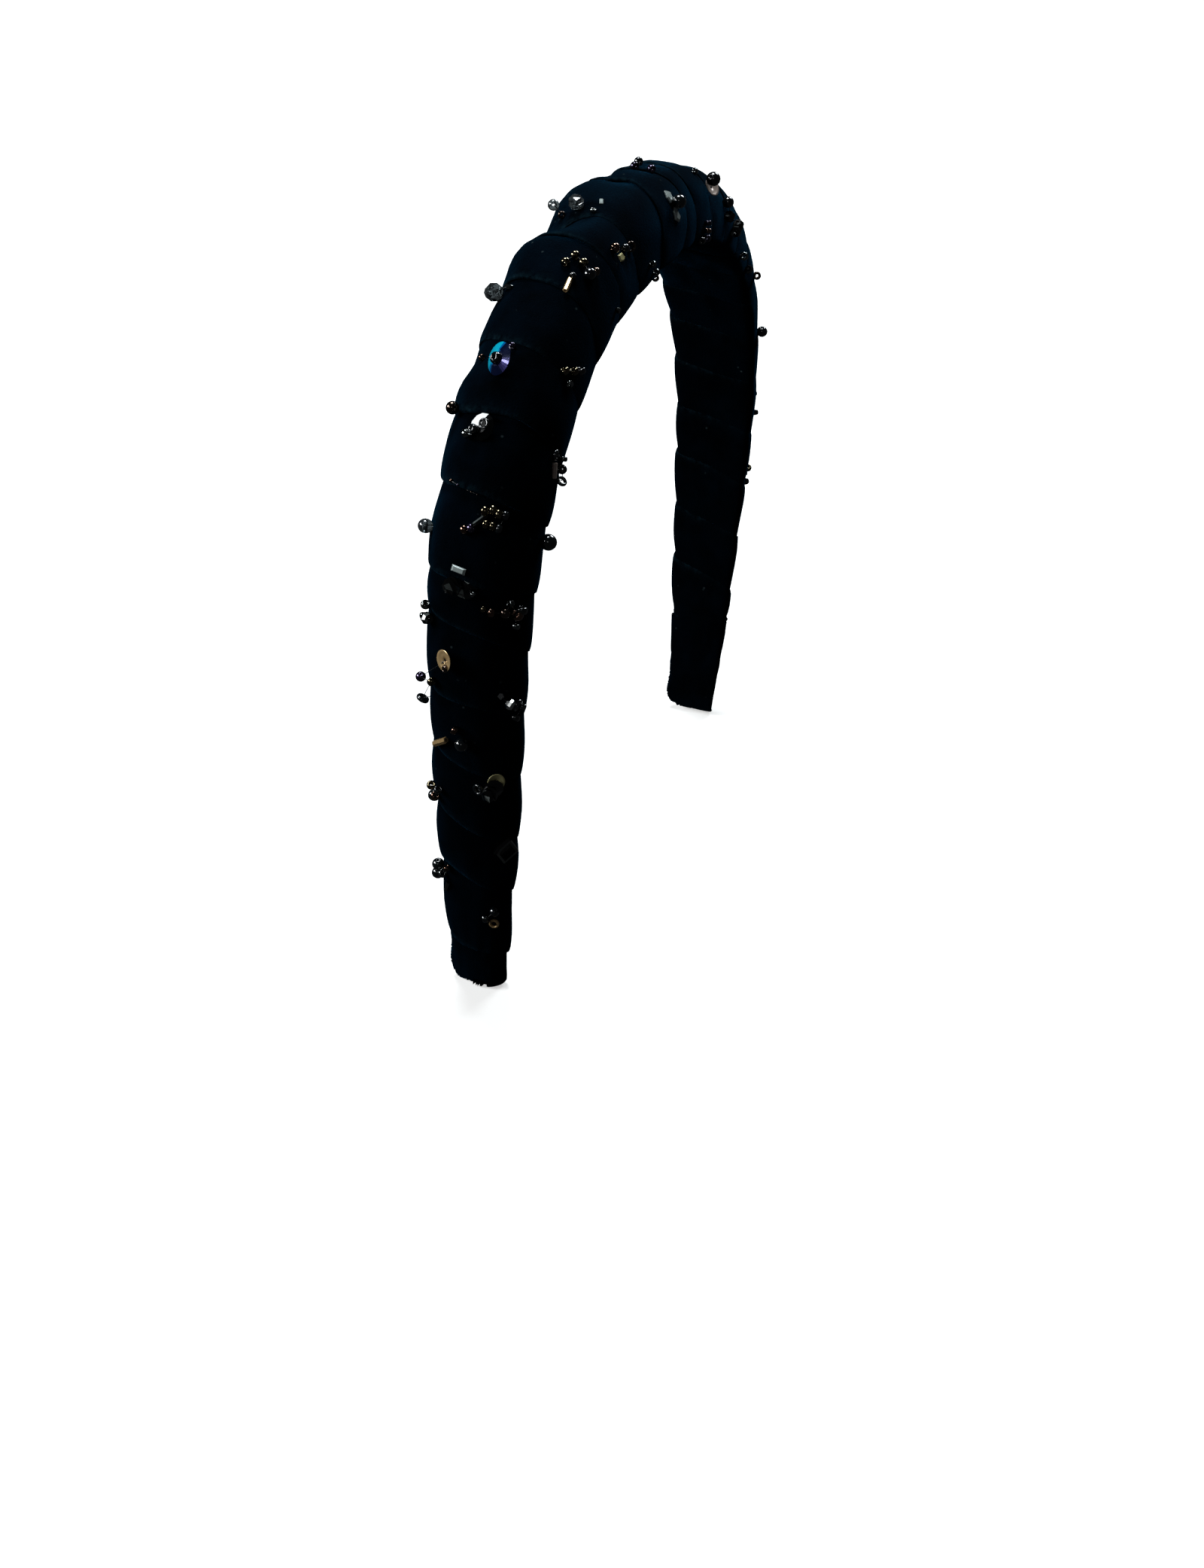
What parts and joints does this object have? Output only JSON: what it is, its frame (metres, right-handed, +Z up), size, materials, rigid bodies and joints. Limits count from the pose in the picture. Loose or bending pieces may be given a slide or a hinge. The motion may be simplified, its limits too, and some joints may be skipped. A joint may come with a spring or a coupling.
{
  "type": "headband",
  "caption": "Padded alice headband: springy core and foam under spirally wound black velvet, sewn all over with clusters of glass beads, bugles, crystals and sequins; arms flex open.",
  "frame": {"origin": "middle of the crown's inner face, where the band rests on the top of the head", "axes": "+Z up, away from the head; the wearer faces -Y; +X is the wearer's left"},
  "size_m": [0.1726, 0.0277, 0.1619],
  "materials": {
    "velvet": "deep midnight-navy pile velvet, nearly black, with a soft cool sheen along lit edges and wound in overlapping bias turns",
    "foam": "off-white open-cell foam padding, unseen inside the velvet",
    "band_plastic": "black springy plastic hairband strip, unseen inside",
    "black_glass": "opaque jet-black glass seed beads, glossy",
    "black_crystal": "faceted jet-black crystal, sharp bright facets",
    "purple_glass": "dark purple iris glass seed beads, glossy",
    "silver_glass": "silver-lined clear glass seed beads and bugles",
    "gold_glass": "pale gold-lined glass seed beads",
    "copper_glass": "copper-lined glass seed beads and bugles",
    "bronze": "metallic pinkish-bronze sequins and beads",
    "blue_iridescent": "faceted iridescent sequin, cyan to deep blue and violet",
    "silver": "mirror-silver faceted sequins",
    "gold": "pale gold faceted sequins"
  },
  "bodies": {
    "crown": {"band_core_crown": "band_plastic", "crown_back_seed_pair": "black_glass", "crown_bronze_sequin": "bronze", "crown_crystal_and_bugle": "black_crystal", "crown_front_crystals": "black_crystal", "crown_gold_seed_ring": "gold_glass", "crown_purple_seed_column": "purple_glass", "crown_round_bead_and_chips": "silver_glass", "crown_shoulder_crystal": "black_crystal", "crown_small_bronze_sequin": "bronze", "crown_top_seed_trio": "black_glass", "foam_pad_crown": "foam", "velvet_wrap_crown": "velvet"},
    "left_arm": {"band_core_left_arm": "band_plastic", "foam_pad_left_arm": "foam", "left_back_round_bead": "black_glass", "left_back_seeds": "gold_glass", "left_front_round_bead": "black_glass", "left_front_seeds": "gold_glass", "left_lower_bugle": "copper_glass", "left_lower_crystal": "black_crystal", "left_lower_seeds": "gold_glass", "left_lower_sequin": "silver", "left_middle_bugle": "copper_glass", "left_middle_crystal": "black_crystal", "left_middle_sequin": "silver", "left_tip_round_bead": "black_glass", "left_tip_seeds": "gold_glass", "left_upper_bugle": "copper_glass", "left_upper_crystal": "black_crystal", "left_upper_sequin": "silver", "velvet_end_tab_left": "velvet", "velvet_wrap_left_arm": "velvet"},
    "right_arm": {"band_core_right_arm": "band_plastic", "foam_pad_right_arm": "foam", "right_back_bead_quartet": "black_glass", "right_back_crystal_cluster": "black_crystal", "right_back_crystal_trio": "black_crystal", "right_back_round_bead": "black_glass", "right_blue_sequin": "blue_iridescent", "right_copper_bugle_group": "copper_glass", "right_copper_seed_group": "copper_glass", "right_faceted_crystal": "black_crystal", "right_gold_seed_group": "gold_glass", "right_gold_sequin": "gold", "right_hanging_ring_bead": "purple_glass", "right_shoulder_front_seeds": "silver_glass", "right_silver_bead_group": "silver_glass", "right_silver_sequin": "silver", "right_square_crystal": "black_crystal", "right_striped_bronze_bead": "bronze", "right_tilted_bugle": "silver_glass", "right_tip_gold_ring": "gold_glass", "right_yellow_sequin": "gold", "velvet_end_tab_right": "velvet", "velvet_wrap_right_arm": "velvet"}
  },
  "joints": [
    {"name": "left_arm_flex", "type": "hinge", "parent": "crown", "child": "left_arm", "pos_m": [0.04509, 0, -0.00953], "axis": [0, -1, 0], "range_deg": [-4, 10], "stiffness_Nm_per_rad": 1.6},
    {"name": "right_arm_flex", "type": "hinge", "parent": "crown", "child": "right_arm", "pos_m": [-0.04509, 0, -0.00953], "axis": [0, 1, 0], "range_deg": [-4, 10], "stiffness_Nm_per_rad": 1.6}
  ]
}
